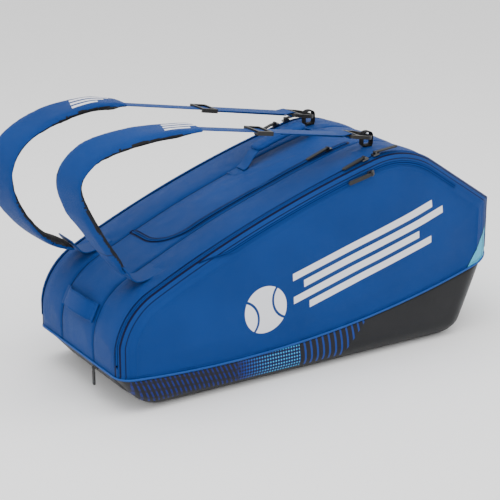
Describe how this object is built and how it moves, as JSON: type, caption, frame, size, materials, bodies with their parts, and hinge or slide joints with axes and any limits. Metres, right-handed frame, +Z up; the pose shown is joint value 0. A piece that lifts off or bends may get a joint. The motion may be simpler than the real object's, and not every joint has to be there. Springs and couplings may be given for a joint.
{
  "type": "racket tournament bag",
  "caption": "Long padded racket bag with zipped side covers, a zipped top lid, a wipe-clean tub base, carry handles and two curved shoulder straps with hooks.",
  "frame": {"origin": "on the floor, on the centre line of the flat tub and close to its middle; the bag stands on its tub", "axes": "+Z up, +X towards the wide head end, -Y towards the front cover with the outer pocket"},
  "size_m": [0.8499, 0.3152, 0.4585],
  "materials": {
    "blue": "satin coated polyester",
    "base": "matte coated tarpaulin",
    "black_fabric": "matte",
    "accent": "satin",
    "foam": "matte",
    "zip": "matte",
    "webbing": "woven",
    "hardware": "satin",
    "metal": "gloss",
    "pull": "matte",
    "board": "matte",
    "mesh": "matte mesh"
  },
  "bodies": {
    "bag": {"base_tub": "base", "base_board": "board", "base_seam_piping": "blue", "compartment_floor": "black_fabric", "base_flap_zip": "zip", "front_divider": "black_fabric", "rear_divider": "black_fabric", "front_top_gusset": "blue", "rear_top_gusset": "blue", "middle_top_gusset": "blue", "head_end_panel": "accent", "lid_zip_body_tape": "zip", "front_zip_body_tape": "zip", "rear_zip_body_tape": "zip", "front_lower_panel": "blue", "rear_lower_panel": "blue", "front_strap_anchor": "webbing", "rear_strap_anchor": "webbing", "front_hook_tab": "webbing", "rear_hook_tab": "webbing", "handle_foot_grip": "blue", "handle_foot_head": "blue", "end_handle_base": "webbing"},
    "base_flap": {"base_flap": "base"},
    "lid": {"lid_panel": "blue", "lid_zip_lid_tape": "zip"},
    "front_cover": {"front_cover_panel": "blue", "front_cover_foam": "foam", "front_zip_cover_tape": "zip", "front_pocket_zip": "zip"},
    "rear_cover": {"rear_cover_panel": "blue", "rear_cover_foam": "foam", "rear_zip_cover_tape": "zip"},
    "front_strap": {"front_pad_cover": "blue", "front_pad_mesh": "mesh", "front_webbing": "webbing", "front_hook": "hardware"},
    "rear_strap": {"rear_pad_cover": "blue", "rear_pad_mesh": "mesh", "rear_webbing": "webbing", "rear_hook": "hardware"},
    "front_adjuster": {"front_adjuster": "hardware"},
    "rear_adjuster": {"rear_adjuster": "hardware"},
    "top_handle": {"handle_band": "webbing", "handle_grip": "blue"},
    "end_handle": {"end_handle_band": "blue"},
    "front_grip_slider": {"front_slider_grip": "metal"},
    "front_grip_pull": {"front_pull_grip": "pull"},
    "front_head_slider": {"front_slider_head": "metal"},
    "front_head_pull": {"front_pull_head": "pull"},
    "rear_grip_slider": {"rear_slider_grip": "metal"},
    "rear_grip_pull": {"rear_pull_grip": "pull"},
    "rear_head_slider": {"rear_slider_head": "metal"},
    "rear_head_pull": {"rear_pull_head": "pull"},
    "lid_slider": {"lid_slider": "metal"},
    "lid_pull": {"lid_pull": "pull"},
    "pocket_slider": {"pocket_slider": "metal"},
    "pocket_pull": {"pocket_pull": "pull"},
    "flap_slider": {"flap_slider": "metal"},
    "flap_pull": {"flap_pull": "pull"}
  },
  "joints": [
    {"name": "front_cover_hinge", "type": "hinge", "parent": "bag", "child": "front_cover", "pos_m": [0, -0.1523, 0.11528], "axis": [0.996, 0, 0.0891], "range_deg": [0, 60]},
    {"name": "rear_cover_hinge", "type": "hinge", "parent": "bag", "child": "rear_cover", "pos_m": [0, 0.1523, 0.11528], "axis": [-0.996, 0, -0.0891], "range_deg": [0, 60]},
    {"name": "lid_hinge", "type": "hinge", "parent": "bag", "child": "lid", "pos_m": [-0.238, 0.056, 0.23026], "axis": [-0.9124, 0.2628, -0.3139], "range_deg": [0, 66]},
    {"name": "front_strap_swing", "type": "hinge", "parent": "bag", "child": "front_strap", "pos_m": [-0.312, -0.088, 0.199], "axis": [0.9308, 0, 0.3656], "range_deg": [0, 35]},
    {"name": "rear_strap_swing", "type": "hinge", "parent": "bag", "child": "rear_strap", "pos_m": [-0.312, 0.088, 0.199], "axis": [-0.9308, 0, -0.3656], "range_deg": [0, 35]},
    {"name": "front_adjuster_slide", "type": "slide", "parent": "front_strap", "child": "front_adjuster", "axis": [0.9861, 0, -0.1664], "range_m": [-0.09, 0.14]},
    {"name": "rear_adjuster_slide", "type": "slide", "parent": "rear_strap", "child": "rear_adjuster", "axis": [0.9851, 0, -0.172], "range_m": [-0.09, 0.14]},
    {"name": "top_handle_swing", "type": "hinge", "parent": "bag", "child": "top_handle", "pos_m": [-0.02651, 0.0537, 0.31346], "axis": [-0.9614, 0, -0.2753], "range_deg": [0, 50]},
    {"name": "end_handle_swing", "type": "hinge", "parent": "bag", "child": "end_handle", "pos_m": [-0.35448, 0, 0.15924], "axis": [0, 1, 0], "range_deg": [0, 70]},
    {"name": "base_flap_hinge", "type": "hinge", "parent": "bag", "child": "base_flap", "pos_m": [-0.3315, 0, 0.0167], "axis": [0, -1, 0], "range_deg": [0, 30]},
    {"name": "front_grip_slider_travel", "type": "hinge", "parent": "bag", "child": "front_grip_slider", "pos_m": [0.6287, -0.1375, -1.68345], "axis": [0, -1, 0], "range_deg": [0, 11.47]},
    {"name": "front_head_slider_travel", "type": "hinge", "parent": "bag", "child": "front_head_slider", "pos_m": [0.15599, -0.1375, 0.19808], "axis": [0, 1, 0], "range_deg": [0, 41.8]},
    {"name": "rear_grip_slider_travel", "type": "hinge", "parent": "bag", "child": "rear_grip_slider", "pos_m": [0.6287, 0.1375, -1.68345], "axis": [0, -1, 0], "range_deg": [0, 11.47]},
    {"name": "rear_head_slider_travel", "type": "hinge", "parent": "bag", "child": "rear_head_slider", "pos_m": [0.15599, 0.1375, 0.19808], "axis": [0, 1, 0], "range_deg": [0, 41.8]},
    {"name": "lid_slider_travel", "type": "hinge", "parent": "lid", "child": "lid_slider", "pos_m": [0.6287, -0.04665, -1.68345], "axis": [0, -1, 0], "range_deg": [0, 7.63]},
    {"name": "pocket_slider_travel", "type": "hinge", "parent": "front_cover", "child": "pocket_slider", "pos_m": [0.6287, -0.152, -1.68345], "axis": [0, -1, 0], "range_deg": [0, 7.83]},
    {"name": "flap_slider_travel", "type": "slide", "parent": "base_flap", "child": "flap_slider", "axis": [0, 1, 0], "range_m": [-0.04, 0.15]},
    {"name": "front_grip_pull_swing", "type": "hinge", "parent": "front_grip_slider", "child": "front_grip_pull", "pos_m": [0.10225, -0.1375, 0.35673], "axis": [0, 1, 0], "range_deg": [0, 150]},
    {"name": "front_head_pull_swing", "type": "hinge", "parent": "front_head_slider", "child": "front_head_pull", "pos_m": [0.12469, -0.1375, 0.36212], "axis": [0, -1, 0], "range_deg": [0, 150]},
    {"name": "rear_grip_pull_swing", "type": "hinge", "parent": "rear_grip_slider", "child": "rear_grip_pull", "pos_m": [0.10225, 0.1375, 0.35673], "axis": [0, 1, 0], "range_deg": [0, 150]},
    {"name": "rear_head_pull_swing", "type": "hinge", "parent": "rear_head_slider", "child": "rear_head_pull", "pos_m": [0.12469, 0.1375, 0.36212], "axis": [0, -1, 0], "range_deg": [0, 150]},
    {"name": "lid_pull_swing", "type": "hinge", "parent": "lid_slider", "child": "lid_pull", "pos_m": [0.09121, -0.04665, 0.35385], "axis": [0, 1, 0], "range_deg": [0, 150]},
    {"name": "pocket_pull_swing", "type": "hinge", "parent": "pocket_slider", "child": "pocket_pull", "pos_m": [0.10428, -0.159, 0.33246], "axis": [-0.2518, 0, 0.9678], "range_deg": [0, 150]},
    {"name": "flap_pull_swing", "type": "hinge", "parent": "flap_slider", "child": "flap_pull", "pos_m": [-0.37161, -0.057, 0.05269], "axis": [0, 1, 0], "range_deg": [-28, 50]}
  ]
}
